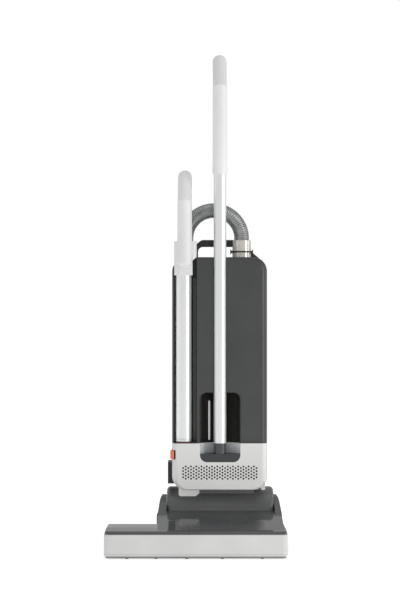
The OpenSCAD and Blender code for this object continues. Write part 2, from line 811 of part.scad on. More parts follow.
// Red silicone ring that the foot of the wand stands on
module dock_seal() color(orange_red)
  difference() {
    rod_z(trough_floor, trough_floor + seal_t, wand_d / 2 + 1, wand_x, wand_y);
    rod_z(base_top, base_top + 10, dock_r, wand_x, wand_y);
  }

// Light socket on top of the housing that takes the hose
module hose_connector() color("#d9d7d2")
  difference() {
    rod_z(body_top, connector_top, connector_r, hose_right, hose_y);
    rod_z(hose_end_z, connector_top + 1, socket_r, hose_right, hose_y);
    rod_z(body_top + 2, hose_end_z + 1, hose_bore / 2, hose_right, hose_y);
  }

// Black bayonet ring with two finger lugs
module lock_ring() color(black)
  difference() {
    union() {
      rod_z(755.4, 759.4, connector_r + 2.2, hose_right, hose_y);
      for (side = [-1, 1]) along_y(hose_y - 7, hose_y + 7)
        translate([hose_right, 757.4]) mirror([side < 0 ? 1 : 0, 0])
          polygon([[22, -2], [25, -2.5], [29.3, -7], [29.3, 7], [25, 2.5], [22, 2]]);
    }
    rod_z(740, 770, connector_r, hose_right, hose_y);
  }

// Carry handle: a bar on two sloping legs
module carry_handle() color("#3e3f40") {
  foot = [-46, body_top];
  bend = [19, 776];
  bend_r = 14;
  slope = heading(foot, bend) + tangent_turn(foot, 0, bend, bend_r);
  along_y(carry_y[0], carry_y[1]) difference() {
    polygon(concat([foot], arc(bend, bend_r, slope, 90),
                   arc([2 * body_x - bend.x, bend.y], bend_r, 90, 180 - slope),
                   [[2 * body_x - foot.x, foot.y]]));
    panel(body_x - 55, body_x + 55, body_top - 1, 772, 0, 13);
  }
}

// ---------- Handle ----------

module handle_tube() color(aluminium)
  difference() {
    rod_z(base_top, 1010, handle_d / 2, handle_x, tube_y);
    rod_z(base_top - 1, 1011, handle_d / 2 - 2, handle_x, tube_y);
  }

// Everything above the mitre plane of a grip that bends at height z
module above_mitre(x, y, z)
  translate([x, y, z]) rotate([-grip_lean / 2, 0, 0])
    translate([-100, -100, 0]) cube([200, 200, 200]);

// Sleeve from z0 up to the bend, slightly tapered
module sleeve(x, y, z0, z1)
  difference() {
    translate([x, y, z0]) cylinder(h = z1 - z0 + sleeve_r, r1 = sleeve_r, r2 = sleeve_r - 0.6);
    above_mitre(x, y, z1);
  }

// Grip that leans back from the bend and ends in a dome
module grip(x, y, z, length)
  intersection() {
    translate([x, y, z]) rotate([-grip_lean, 0, 0]) {
      translate([0, 0, -sleeve_r]) cylinder(h = length + sleeve_r, r = grip_r);
      translate([0, 0, length]) sphere(grip_r);
    }
    above_mitre(x, y, z);
  }

module handle_sleeve() color(pale_grey)
  difference() {
    sleeve(handle_x, tube_y, 955, handle_bend_z);
    rod_z(954, 1010.2, handle_d / 2, handle_x, tube_y);
  }

module handle_grip() color("#cfd0cf")
  grip(handle_x, tube_y, handle_bend_z, 110);

// ---------- Wand ----------

module wand_tube() color(aluminium)
  difference() {
    rod_z(trough_floor + seal_t + 1, tube_end, wand_d / 2, wand_x, wand_y);
    rod_z(base_top, tube_end + 1, wand_d / 2 - 2, wand_x, wand_y);
  }

// Outer form of the collar: narrow round the tube, wide and deep where it takes the hose
module collar_form() {
  y = [grip_y - 3, wand_y + 23, hose_y + 25];
  waist_x = -9;
  intersection() {
    along_z(collar_z[0], collar_z[1]) panel(collar_x[0], collar_x[1], y[0], y[2], 8, 24);
    along_y(front, head_d)
      polygon([[collar_x[0], collar_z[0]], [waist_x, collar_z[0]], [waist_x, hose_end_z - 10],
               [collar_x[1], hose_end_z], [collar_x[1], collar_z[1]], [collar_x[0], collar_z[1]]]);
    along_x(collar_x[0] - 1, collar_x[1] + 1)
      polygon([[y[0], collar_z[0]], [y[1], collar_z[0]], [y[1], body_top + 2],
               [y[2], body_top + 2], [y[2], collar_z[1]], [y[0], collar_z[1]]]);
  }
}

// Elbow that joins the wand tube, the grip and the hose
module wand_collar() color(pale_grey)
  difference() {
    collar_form();
    rod_z(collar_z[0] - 1, tube_end + 0.2, wand_d / 2, wand_x, wand_y);
    rod_z(hose_end_z, collar_z[1] + 1, socket_r, hose_left, hose_y);
    // air passage from the tube into the hose
    rod_z(tube_end - 6, hose_end_z + 1, 11, wand_x + 3, wand_y + 9);
  }

// Front sleeve of the wand's grip, with a domed foot on the collar
module wand_sleeve() color(pale_grey)
  difference() {
    union() {
      sleeve(grip_x, grip_y, sleeve_foot, wand_bend_z);
      translate([grip_x, grip_y, sleeve_foot]) sphere(sleeve_r);
    }
    collar_form();
    translate([grip_x - 30, wand_y - wand_d / 2 - 1, 700]) cube([60, 60, 60]);
  }

module wand_grip() color("#cfd0cf")
  grip(grip_x, grip_y, wand_bend_z, 100);

// ---------- Rear side ----------

// Bowed plate of the bag door with two hinge knuckles at its foot
module bag_door() color(dark_grey)
  difference() {
    union() {
      difference() {
        along_y(housing_back + 0.3, housing_back + door_t)
          panel(door[0], door[1], door_z[0] + 2, door_z[1], 22, 22);
        for (x = door_knuckles)
          translate([x - gap, housing_back, door_z[0]]) cube([40 + 2 * gap, door_t + 1, 5.5]);
      }
      for (x = door_knuckles) {
        rod_x(x + 10.5, x + 29.5, knuckle_r, knuckle_y, door_z[0]);
        translate([x + 10.5, housing_back + 0.3, door_z[0]]) cube([19, 6, 8]);
      }
    }
    for (x = door_knuckles) rod_x(x, x + 40, knuckle_pin_r + fit, knuckle_y, door_z[0]);
    along_y(housing_back + 3, housing_back + door_t + 1)
      for (x = [door[0] + 30 : 41 : door[1] - 30])
        panel(x, x + 3, door_z[0] + 60, door_z[1] - 60, 1.4, 1.4);
    // pocket of the latch
    translate([body_x - 20 - gap, housing_back + 3, door_z[1] - 40 - gap])
      cube([40 + 2 * gap, 10, 26 + 2 * gap]);
  }

// Hinge lugs on the housing and the pins through them, one pair at each knuckle
module door_hinge_pins() color(steel)
  for (x = door_knuckles) {
    rod_x(x, x + 40, knuckle_pin_r, knuckle_y, door_z[0]);
    for (lug = [x, x + 30]) along_x(lug, lug + 10) {
      translate([housing_back, door_z[0] - knuckle_r])
        square([knuckle_y - housing_back, 2 * knuckle_r]);
      translate([knuckle_y, door_z[0]]) circle(knuckle_r);
    }
  }

// Latch of the bag door, pressed down to open it
module door_latch() color("#3e3f40")
  difference() {
    translate([body_x - 20, housing_back + 3.3, door_z[1] - 36]) cube([40, 5, 22]);
    for (z = [-32, -27, -22]) translate([body_x - 15, housing_back + 7.3, door_z[1] + z])
      cube([30, 2, 2]);
  }

module motor_filter() color("#e9ecef")
  rod_z(base_top + wall, base_top + wall + 12, 32, motor_cx, motor_cy);

// Fleece dust bag in its chamber, hanging from a flat collar plate
module filter_bag() color("#e4e0d6") {
  along_z(300, 690) panel(-42, 162, cover_back + 8, housing_back - 8, 22, 22);
  translate([10, cover_back + 20, 690]) cube([100, 44, 3]);
}

// Threaded gland that a supply cable would enter by
module cable_gland() color(black)
  difference() {
    union() {
      rod_y(body_back, body_back + 5, 10.5, gland_x, rear_z, $fn = 6);
      rod_y(body_back - 8, body_back, 6, gland_x, rear_z);
      rod_y(body_back + 5, body_back + 14, 8.5, gland_x, rear_z);
    }
    rod_y(body_back - 9, body_back + 15, gland_r, gland_x, rear_z);
  }

// Outline of a cable hook seen from the side: an arm with an upright finger
module hook_profile(y0, reach, rise, t) {
  translate([y0, -t / 2]) square([reach - 3, t]);
  translate([y0 + reach - t, -t / 2 + 3]) square([t, rise - 6]);
  translate([y0 + reach - 3, -t / 2 + 3]) circle(3);
  translate([y0 + reach - t / 2, rise - t / 2 - 3]) circle(t / 2);
}

// Fixed hook below the door, finger down
module cable_hook_lower() color("#3e3f40")
  translate([0, 0, 252]) mirror([0, 0, 1]) {
    along_x(body_x - 20, body_x + 20) hook_profile(body_back, hook_y - body_back, 34, 8);
    along_y(body_back, body_back + 4) panel(body_x - 26, body_x + 26, -12, 12, 5, 5);
  }

// Turning hook above the door, finger up at rest
module cable_hook_upper() color("#3e3f40") {
  rod_y(housing_back - 17, housing_back + gap, hook_pivot_r, body_x, hook_z);
  rod_y(housing_back + gap, housing_back + 8, 10, body_x, hook_z);
  translate([0, 0, hook_z]) along_x(body_x - 10, body_x + 10)
    hook_profile(housing_back + 7, hook_y - housing_back - 7, 36, 8);
}

// Rocker switch on the back of the base, with its pivot pins behind the wall
module power_switch() color(black) {
  along_x(switch_x - 10.4, switch_x + 10.4) polygon([
    [body_back - 7, rear_z - 6], [body_back - 7, rear_z + 6], [body_back + 0.4, rear_z + 7.2],
    [body_back + 1.2, rear_z], [body_back + 3.2, rear_z - 7.2]]);
  rod_x(switch_x - 13, switch_x + 13, 1.5, body_back - 5, rear_z);
}

// ---------- Suction hose ----------

// Point and upward direction of the hose's centre line at distance s from its left end
function hose_at(s) =
  s < hose_straight ? [hose_left, hose_y, hose_end_z + s]
  : s > hose_length - hose_straight ? [hose_right, hose_y, hose_end_z + hose_length - s]
  : let (a = 180 - (s - hose_straight) / hose_r * 180 / PI)
    [hose_x + hose_r * cos(a), hose_y, hose_bend_z + hose_r * sin(a)];
function hose_turn(s) =
  s < hose_straight ? 180
  : s > hose_length - hose_straight ? 0
  : 180 - (s - hose_straight) / hose_r * 180 / PI;

// Ring of eight points round the centre line at distance s
function hose_ring(s, r) = [for (k = [0 : 7])
  let (a = k * 45 + 22.5, t = hose_turn(s), p = hose_at(s))
    [p.x + r * cos(a) * cos(t), p.y + r * sin(a), p.z + r * cos(a) * sin(t)]];

// Ribbed tube with its bore: crests and roots outside, plain rings inside
module suction_hose() color("#77797b") {
  n = 2 * hose_ribs;
  m = 32;
  outer = [for (i = [0 : n]) each
    hose_ring(i * hose_length / n, i % 2 == 0 ? hose_d / 2 - 1.6 : hose_d / 2)];
  inner = [for (i = [0 : m]) each hose_ring(i * hose_length / m, hose_bore / 2)];
  base = 8 * (n + 1);
  end_in = base + 8 * m;
  points = concat(outer, inner);
  faces = concat(
    [for (i = [0 : n - 1], k = [0 : 7]) each
      let (a = 8 * i + k, b = 8 * i + (k + 1) % 8) [[a, b, b + 8], [a, b + 8, a + 8]]],
    [for (i = [0 : m - 1], k = [0 : 7]) each
      let (a = base + 8 * i + k, b = base + 8 * i + (k + 1) % 8) [[a, b + 8, b], [a, a + 8, b + 8]]],
    [for (k = [0 : 7]) each let (j = (k + 1) % 8)
      [[k, base + k, base + j], [k, base + j, j]]],
    [for (k = [0 : 7]) each let (j = (k + 1) % 8)
      [[8 * n + k, 8 * n + j, end_in + j], [8 * n + k, end_in + j, end_in + k]]]);
  polyhedron(points, faces, convexity = 6);
}
echo(hose_length_mm = hose_length, hose_least_self_gap_mm = 2 * hose_r - hose_d);

// ---------- Nodes ----------

sole_plate();
front_bumper();
head_chassis();
head_cover();
glide_feet();
brush_bearings();
brush_core();
brush_tufts();
brush_pulley();
brush_motor();
motor_shaft();
motor_pulley();
drive_belt();
hinge_pins();
wheel_axles();
wheel_hub_left();
wheel_tyre_left();
wheel_hub_right();
wheel_tyre_right();
swivel_housing();
airway_neck();
base_shell();
base_front();
exhaust_filter();
suction_motor();
fan_impeller();
control_board();
side_duct_cover();
release_button();
handle_socket();
socket_screws();
niche_liner();
front_cover();
rear_housing();
dock_seal();
hose_connector();
lock_ring();
carry_handle();
handle_tube();
handle_sleeve();
handle_grip();
motor_filter();
filter_bag();
cable_gland();
cable_hook_lower();
cable_hook_upper();
power_switch();
bag_door();
door_hinge_pins();
door_latch();
wand_tube();
wand_collar();
wand_sleeve();
wand_grip();
suction_hose();
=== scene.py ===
import math
import random

import bmesh
import bpy
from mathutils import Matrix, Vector


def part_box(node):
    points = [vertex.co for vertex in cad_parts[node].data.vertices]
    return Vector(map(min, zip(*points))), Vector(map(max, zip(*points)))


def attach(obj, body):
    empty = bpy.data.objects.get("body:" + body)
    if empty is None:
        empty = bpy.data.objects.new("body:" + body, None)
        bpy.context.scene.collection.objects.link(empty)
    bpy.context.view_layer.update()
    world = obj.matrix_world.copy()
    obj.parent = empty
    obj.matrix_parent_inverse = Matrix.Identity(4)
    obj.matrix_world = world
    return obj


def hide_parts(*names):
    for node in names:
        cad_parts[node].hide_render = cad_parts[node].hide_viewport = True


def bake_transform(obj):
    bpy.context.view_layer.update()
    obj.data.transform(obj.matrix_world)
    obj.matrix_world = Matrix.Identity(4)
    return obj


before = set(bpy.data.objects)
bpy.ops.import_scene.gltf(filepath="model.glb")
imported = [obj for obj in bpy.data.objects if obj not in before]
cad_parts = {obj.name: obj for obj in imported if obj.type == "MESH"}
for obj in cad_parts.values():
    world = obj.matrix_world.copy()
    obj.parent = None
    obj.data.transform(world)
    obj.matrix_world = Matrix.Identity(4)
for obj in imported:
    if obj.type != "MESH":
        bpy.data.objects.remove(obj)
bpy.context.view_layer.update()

# ---------- Camera ----------
# It stands 4 m in front of the bumper, level with the middle of the machine, and looks straight
# to the rear.

camera_distance = 4.0
bumper_front = -0.165

lens = bpy.data.cameras.new("camera")
lens.lens = 98.2
lens.sensor_width = 36
camera = bpy.data.objects.new("camera", lens)
camera.location = (0.0101, bumper_front - camera_distance, 0.634)
camera.rotation_euler = (math.radians(90), 0, 0)
bpy.context.scene.collection.objects.link(camera)
bpy.context.scene.camera = camera

# ---------- Suction hose ----------
# A stretch hose of polyethylene with a silvery pigment, blown as one tube with a helical rib. It
# runs from the socket on the housing over to the wand's collar. The rib's pitch of about 3 mm is
# drawn at 5 mm, so that its crests still catch the light one by one.


def linear(code):
    """A hex colour as Blender's linear colour."""
    parts = [int(code[i:i + 2], 16) / 255 for i in (1, 3, 5)]
    return [p / 12.92 if p <= 0.04045 else ((p + 0.055) / 1.055) ** 2.4 for p in parts] + [1.0]


def add(owner, kind, links=(), **settings):
    """A node with its settings and its inputs: links are (input, node that feeds it, output)."""
    made = owner.node_tree.nodes.new(kind)
    for key, value in settings.items():
        if hasattr(made, key):
            setattr(made, key, value)
        else:
            made.inputs[key.replace("_", " ")].default_value = value
    for target, source, output in links:
        owner.node_tree.links.new(source.outputs[output], made.inputs[target])
    return made


def surface(name, **settings):
    """A material whose shader's sockets take the settings."""
    material = bpy.data.materials.new(name)
    material.use_nodes = True
    shader = material.node_tree.nodes["Principled BSDF"]
    for key, value in settings.items():
        shader.inputs[key.replace("_", " ")].default_value = value
    return material


def feed(material, socket, source, output):
    """Lets a node drive a socket of the material's shader."""
    shader = material.node_tree.nodes["Principled BSDF"]
    material.node_tree.links.new(source.outputs[output], shader.inputs[socket])


def tones(material, pattern, low, high):
    """Colours the surface between two tones, along the pattern's middle range."""
    ramp = add(material, "ShaderNodeValToRGB", [("Fac", pattern, "Fac")])
    first, last = ramp.color_ramp.elements
    first.color, last.color = linear(low), linear(high)
    first.position, last.position = 0.35, 0.7
    feed(material, "Base Color", ramp, "Color")


def skin(rows, across, first=0, looped=False):
    """Faces between rows of points that start at `first`; each row is a ring of `across` points.

    Looped, they also join the last row to the first one.
    """
    faces = []
    for i in range(rows if looped else rows - 1):
        row, after = first + i * across, first + (i + 1) % rows * across
        for k in range(across):
            j = (k + 1) % across
            faces.append((row + k, row + j, after + j, after + k))
    return faces


def ends(rows, across, first=0):
    """The two faces that close a skin at its first and last row."""
    last = first + (rows - 1) * across
    return [tuple(first + k for k in range(across)),
            tuple(last + k for k in reversed(range(across)))]


def closed_mesh(name, points, faces, smooth_to=180):
    """A mesh with every face turned outward, shaded smooth over edges of up to so many degrees."""
    mesh = bpy.data.meshes.new(name)
    mesh.from_pydata(points, [], faces)
    bm = bmesh.new()
    bm.from_mesh(mesh)
    bmesh.ops.recalc_face_normals(bm, faces=bm.faces)
    bm.to_mesh(mesh)
    bm.free()
    if smooth_to:
        mesh.shade_smooth()
        mesh.set_sharp_from_angle(angle=math.radians(smooth_to))
    return mesh


def piece(name, mesh, body, stands_for, material):
    """An object made of the mesh, riding on the body and standing for CAD nodes."""
    made = bpy.data.objects.new(name, mesh)
    bpy.context.scene.collection.objects.link(made)
    mesh.materials.clear()
    mesh.materials.append(material)
    if body:
        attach(made, body)
    if stands_for:
        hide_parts(*stands_for)
    return made


hose_left, hose_right, hose_y = -0.026, 0.117, 0.040
hose_low, hose_bend = 0.744, 0.792
hose_radius = (hose_right - hose_left) / 2
hose_middle = (hose_right + hose_left) / 2
hose_rise = hose_bend - hose_low
hose_length = 2 * hose_rise + math.pi * hose_radius
hose_width, hose_bore, rib_depth = 0.039, 0.016, 0.0010


def hose_point(s):
    """Centre and outward direction of the hose's route at the distance s from its left end."""
    if s < hose_rise:
        return Vector((hose_left, hose_y, hose_low + s)), Vector((-1, 0, 0))
    if s > hose_length - hose_rise:
        return Vector((hose_right, hose_y, hose_low + hose_length - s)), Vector((1, 0, 0))
    turn = math.pi - (s - hose_rise) / hose_radius
    out = Vector((math.cos(turn), 0, math.sin(turn)))
    return Vector((hose_middle, hose_y, hose_bend)) + out * hose_radius, out


def hose_mesh(ribs=62, steps=12, plain_rings=48, around=48):
    """A ribbed outer wall, with `steps` rings of points to a rib, and a plain bore."""
    points = []

    def wall(rings, radius_at):
        for i in range(rings + 1):
            centre, out = hose_point(hose_length * i / rings)
            for k in range(around):
                angle = 2 * math.pi * k / around
                radius = radius_at(i, angle)
                points.append(centre + out * radius * math.cos(angle)
                              + Vector((0, 1, 0)) * radius * math.sin(angle))

    def ribbed(i, angle):
        crest = 0.5 + 0.5 * math.cos(2 * math.pi * (i / steps) - angle)
        return hose_width / 2 - rib_depth * (1 - crest ** 0.5)

    wall(ribs * steps, ribbed)
    bore = len(points)
    wall(plain_rings, lambda i, angle: hose_bore)
    faces = skin(ribs * steps + 1, around) + skin(plain_rings + 1, around, first=bore)
    for outer, inner in ((0, bore), (bore - around, len(points) - around)):
        for k in range(around):
            j = (k + 1) % around
            faces.append((outer + k, inner + k, inner + j, outer + j))
    return closed_mesh("ribbed_hose", points, faces)


# the pigment gives the wall a dull metallic sheen, in patches of about 20 mm where it thins out
polyethylene = surface("ribbed_polyethylene", Metallic=0.6, Roughness=0.2, IOR=1.51)
place = add(polyethylene, "ShaderNodeTexCoord")
pigment = add(polyethylene, "ShaderNodeTexNoise", [("Vector", place, "Object")], Scale=55, Detail=4)
tones(polyethylene, pigment, "#828383", "#979898")

hose = piece("ribbed_hose", hose_mesh(), None, ["suction_hose"], polyethylene)
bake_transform(hose)

# ---------- Soft-touch bumper ----------
# A band of thermoplastic elastomer moulded over the front and both ends of the power head. Its
# fine matt grain spreads the light, so that it looks even from end to end.


def rounded(name, node, body, material, radius, source=None):
    """The CAD solid with its sharp edges rounded off, as the moulding or the casting has them.

    `source` is a mesh to take instead of the CAD solid's own.
    """
    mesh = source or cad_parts[node].data.copy()
    mesh.name = name
    bm = bmesh.new()
    bm.from_mesh(mesh)
    bmesh.ops.remove_doubles(bm, verts=bm.verts, dist=2e-6)
    bmesh.ops.dissolve_degenerate(bm, edges=bm.edges, dist=1e-6)
    bmesh.ops.dissolve_limit(bm, angle_limit=math.radians(0.5), verts=bm.verts, edges=bm.edges)
    edges = [edge for edge in bm.edges
             if len(edge.link_faces) == 2 and edge.calc_face_angle(0) > math.radians(30)]
    bmesh.ops.bevel(bm, geom=edges, offset=radius, segments=3, profile=0.5,
                    affect="EDGES", clamp_overlap=True)
    bmesh.ops.triangulate(bm, faces=[face for face in bm.faces if len(face.verts) > 4])
    for face in bm.faces:
        face.smooth = True
    bm.to_mesh(mesh)
    bm.free()
    mesh.set_sharp_from_angle(angle=math.radians(40))
    made = piece(name, mesh, body, [node], material)
    weighted = made.modifiers.new("weighted", "WEIGHTED_NORMAL")
    weighted.keep_sharp = True
    return made


def moulded(name, low, high, roughness, ior=1.5, grain=1.2, depth=0.05, spread=0.05):
    """A moulded plastic: two close tones, handling marks in its gloss, and the mould's grain.

    The tones drift over about 110 mm, and the marks are about 30 mm long. The grain of a
    spark-eroded mould is about 0.1 mm, which is too fine to show, so it is drawn as coarse as
    `grain` in mm; `depth` is its depth in mm.
    """
    material = surface(name, IOR=ior)
    place = add(material, "ShaderNodeTexCoord")
    cloud = add(material, "ShaderNodeTexNoise", [("Vector", place, "Object")], Scale=9, Detail=4)
    tones(material, cloud, low, high)
    marks = add(material, "ShaderNodeTexNoise", [("Vector", place, "Object")],
                Scale=34, Detail=6, Distortion=0.6)
    gloss = add(material, "ShaderNodeMapRange", [("Value", marks, "Fac")],
                From_Min=0.3, From_Max=0.75, To_Min=roughness - spread, To_Max=roughness + spread)
    feed(material, "Roughness", gloss, "Result")
    grains = add(material, "ShaderNodeTexNoise", [("Vector", place, "Object")],
                 Scale=1000 / grain, Detail=2)
    bump = add(material, "ShaderNodeBump", [("Height", grains, "Fac")],
               Strength=0.25, Distance=depth / 1000)
    feed(material, "Normal", bump, "Normal")
    return material


elastomer = moulded("moulded_elastomer", "#cbcbca", "#d4d4d3", 0.62, ior=1.49, grain=1.5, depth=0.1)
rounded("soft_bumper", "front_bumper", "power_head", elastomer, 0.0006)

# ---------- Deck and cheeks ----------
# One polished ABS moulding: the low wings, the sloping middle deck and the two cheeks that carry
# the drum. Its gloss mirrors whatever stands behind it.

cheek_middle, cheek_inside, cheek_thick = 0.060, 0.1395, 0.0175
lean, lean_low, lean_rise = 0.0045, 0.094, 0.030

polished_abs = moulded("polished_abs", "#4c4d4e", "#545556", 0.08, ior=1.54, grain=6, depth=0.02,
                       spread=0.03)
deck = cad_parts["head_cover"].data.copy()
for corner in deck.vertices:
    # the outer side of each cheek leans in towards its top
    away = corner.co.x - cheek_middle
    out, rise = abs(away) - cheek_inside, (corner.co.z - lean_low) / lean_rise
    if out > 0 and rise > 0:
        corner.co.x -= math.copysign(out / cheek_thick * lean * min(1, rise), away)
rounded("deck_cover", "head_cover", "power_head", polished_abs, 0.0012, source=deck)

# ---------- Chassis, sole plate and glides ----------
# The chassis is a ribbed moulding of ABS, and the sole plate a hard-wearing one of polypropylene,
# which floors scuff to a dull grey. Five nylon glides are clipped under the front edge.

# the texture keeps its edges soft and its black from shining
textured_abs = moulded("textured_abs", "#2e2f2f", "#353636", 0.46)
rounded("ribbed_chassis", "head_chassis", "power_head", textured_abs, 0.0008)


def dress(material, *nodes):
    """Gives CAD nodes that keep their own shape the finished material."""
    for node in nodes:
        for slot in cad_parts[node].material_slots:
            slot.material = material


polypropylene = moulded("scuffed_polypropylene", "#777674", "#878684", 0.5, grain=1.6, depth=0.12)
dress(polypropylene, "sole_plate")
# near black, with the faint waxy gloss of nylon
black_nylon = moulded("black_nylon", "#141516", "#1c1d1e", 0.42, ior=1.53)
dress(black_nylon, "glide_feet")

# ---------- Brush roller ----------
# A nylon core with two spiral rows of tufts. Each tuft is a bundle of nylon filaments, stapled
# into the core, and its tips splay a little.

brush_left, brush_right, brush_y, brush_z = -0.200, 0.178, -0.100, 0.029
row_start, row_end, tufts_per_row = brush_left + 0.014, brush_right - 0.010, 24
tuft_root, tuft_tip = 0.0145, 0.028
bundle_root, bundle_tip = 0.0022, 0.0036


def filaments(per_tuft=26, thick=0.00034):
    """Every filament of both rows, as a thin four-sided spike with an uneven length."""
    points, faces = [], []
    chance = random.Random(4)
    step = (row_end - row_start) / (tufts_per_row - 1)
    along = Vector((1, 0, 0))
    for row in range(2):
        for i in range(tufts_per_row):
            turn = math.radians(row * 180 + 15 + i * 300 / tufts_per_row)
            out = Vector((0, -math.sin(turn), math.cos(turn)))
            side = Vector((0, math.cos(turn), math.sin(turn)))
            foot = Vector((row_start + i * step, brush_y, brush_z))
            for _ in range(per_tuft):
                a, r = chance.uniform(0, 2 * math.pi), math.sqrt(chance.random())
                aside = (along * math.cos(a) + side * math.sin(a)) * r
                reach = tuft_tip - 0.0002 - chance.random() * 0.0008
                low = foot + out * tuft_root + aside * bundle_root
                high = foot + out * reach + aside * bundle_tip
                faces += skin(2, 4, len(points)) + ends(2, 4, len(points))
                for end, size in ((low, thick), (high, thick * 0.7)):
                    for k in range(4):
                        b = math.pi / 2 * k
                        points.append(end + (along * math.cos(b) + side * math.sin(b)) * size)
    return closed_mesh("nylon_filaments", points, faces, smooth_to=0)


# dyed filaments differ in tone from tuft to tuft, over about 6 mm
filament = surface("nylon_filament", Roughness=0.38, IOR=1.53)
place = add(filament, "ShaderNodeTexCoord")
batch = add(filament, "ShaderNodeTexNoise", [("Vector", place, "Object")], Scale=160, Detail=2)
tones(filament, batch, "#17181a", "#34373a")
piece("nylon_filaments", filaments(), "brush_roller", ["brush_tufts"], filament)
rounded("roller_core", "brush_core", "brush_roller", black_nylon, 0.0008)

# ---------- Brush drive ----------
# A small motor in a drawn steel can turns the roller with a flat belt over two turned pulleys.
# Turned and drawn steel carries fine rings and lines that stretch its highlights.


def worked(name, low, high, roughness, stretch, metallic=1.0, depth=0.02, spread=0.06):
    """A worked metal or a plated plastic, with fine lines left by the tool or the die.

    `stretch` is the number of lines in a metre along each axis, and `depth` their depth in mm.
    """
    material = surface(name, Metallic=metallic)
    place = add(material, "ShaderNodeTexCoord")
    scaled = add(material, "ShaderNodeMapping", [("Vector", place, "Object")], Scale=stretch)
    lines = add(material, "ShaderNodeTexNoise", [("Vector", scaled, "Vector")], Scale=1, Detail=3)
    tones(material, lines, low, high)
    gloss = add(material, "ShaderNodeMapRange", [("Value", lines, "Fac")],
                From_Min=0.3, From_Max=0.7, To_Min=roughness - spread, To_Max=roughness + spread)
    feed(material, "Roughness", gloss, "Result")
    bump = add(material, "ShaderNodeBump", [("Height", lines, "Fac")],
               Strength=0.2, Distance=depth / 1000)
    feed(material, "Normal", bump, "Normal")
    return material


turned_steel = worked("turned_steel", "#8d9093", "#b3b6b9", 0.32, (1600, 40, 40))
drawn_steel = worked("drawn_steel", "#85888b", "#a4a7aa", 0.38, (60, 900, 900))
# ground rubber is dull and nearly black
belt_rubber = moulded("belt_rubber", "#161616", "#202020", 0.7, ior=1.52, grain=1.0, depth=0.15)
rounded("motor_can", "brush_motor", "power_head", drawn_steel, 0.0012)
dress(turned_steel, "motor_shaft", "motor_pulley", "brush_pulley", "brush_bearings")
dress(belt_rubber, "drive_belt")

# ---------- Rear wheels ----------
# Moulded hubs with six round windows and pressed-on rubber tyres with a cross tread. Each turns on
# a steel stub axle with a flat head.

wheel_y, wheel_r, hub_edge, tyre_width = 0.127, 0.038, 0.030, 0.016
tread_r, shoulder_r, groove_depth = wheel_r - 0.0002, 0.003, 0.0009


def tyre_mesh(name, x0, around=216, ribs=36):
    """A tyre from x0 to x0 plus its width, with round shoulders and ribs across its tread."""
    half = tyre_width / 2
    shoulder_low = tread_r - shoulder_r
    section = [(-half, hub_edge + 0.0001), (-half, shoulder_low - 0.0002)]
    section += [(-half + shoulder_r * (1 - math.cos(a)), shoulder_low + shoulder_r * math.sin(a))
                for a in (math.pi / 8 * k for k in range(1, 5))]
    section += [(-x, r) for x, r in reversed(section)]
    points = []
    for i in range(around):
        a = 2 * math.pi * i / around
        groove = groove_depth if i % (around // ribs) in (0, 1) else 0.0
        for x, r in section:
            drop = groove if r > shoulder_low else 0.0
            points.append((x0 + half + x, wheel_y + (r - drop) * math.cos(a),
                           wheel_r + (r - drop) * math.sin(a)))
    return closed_mesh(name, points, skin(around, len(section), looped=True), smooth_to=35)


# tyre rubber is duller and greyer than the hub
tyre_rubber = moulded("tyre_rubber", "#191919", "#242424", 0.72, ior=1.52, grain=1.0, depth=0.2)
for side in ("left", "right"):
    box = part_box("wheel_tyre_" + side)
    name = "ribbed_tyre_" + side
    piece(name, tyre_mesh(name, box[0][0]), "wheel_" + side, ["wheel_tyre_" + side], tyre_rubber)
    rounded("spoked_hub_" + side, "wheel_hub_" + side, "wheel_" + side, textured_abs, 0.0005)
dress(turned_steel, "wheel_axles", "hinge_pins")

# ---------- Drum and neck ----------
# The drum swings between the cheeks on two steel pins, and carries the body. A light moulded neck
# leads the air from it up into the base.

# satin, so that the drum shows one soft band of light; it is the cover's plastic, painted
# paler as painted light for the shade under the base
painted_light_drum_abs = moulded("painted_light_drum_abs", "#565757", "#5f6060", 0.36)
rounded("swivel_drum", "swivel_housing", "upper_body", painted_light_drum_abs, 0.0012)
# warm light grey that shades softly, and a glossier one for the neck, painted paler than the
# base as painted light for the shade it sits in
light_abs = moulded("light_abs", "#d6d6d4", "#dededc", 0.42, grain=1.4, depth=0.06)
painted_light_neck_abs = moulded("painted_light_neck_abs", "#f0f0ee", "#f5f5f3", 0.25, grain=1.4, depth=0.04)
rounded("air_neck", "airway_neck", "upper_body", painted_light_neck_abs, 0.0012)

# ---------- Base ----------
# Two light ABS mouldings: a deep shell, and a front panel with rows of small round holes that the
# exhaust air leaves by, through a pleated filter of carbon fleece. The panel's face is rolled
# round at its sides and its foot.

side_roll, foot_roll, roll_start, panel_back = 0.0130, 0.0035, -0.0019, 0.004


def arc(start, end, step):
    """Angles from start to end in steps of so many degrees."""
    return [math.radians(a) for a in range(start, end + 1, step)]


def trimmed(node, loops):
    """What is left of the CAD solid inside a form with rounder edges, made of a stack of loops."""
    rows, across = len(loops), len(loops[0])
    form = closed_mesh(node + "_form", [point for loop in loops for point in loop],
                       skin(rows, across) + ends(rows, across), smooth_to=0)
    cutter = bpy.data.objects.new(node + "_form", form)
    solid = bpy.data.objects.new(node + "_solid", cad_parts[node].data.copy())
    for each in (cutter, solid):
        bpy.context.scene.collection.objects.link(each)
    cut = solid.modifiers.new("cut", "BOOLEAN")
    cut.operation, cut.solver, cut.object = "INTERSECT", "EXACT", cutter
    mesh = bpy.data.meshes.new_from_object(solid.evaluated_get(bpy.context.evaluated_depsgraph_get()))
    for each in (cutter, solid):
        bpy.data.objects.remove(each)
    return mesh


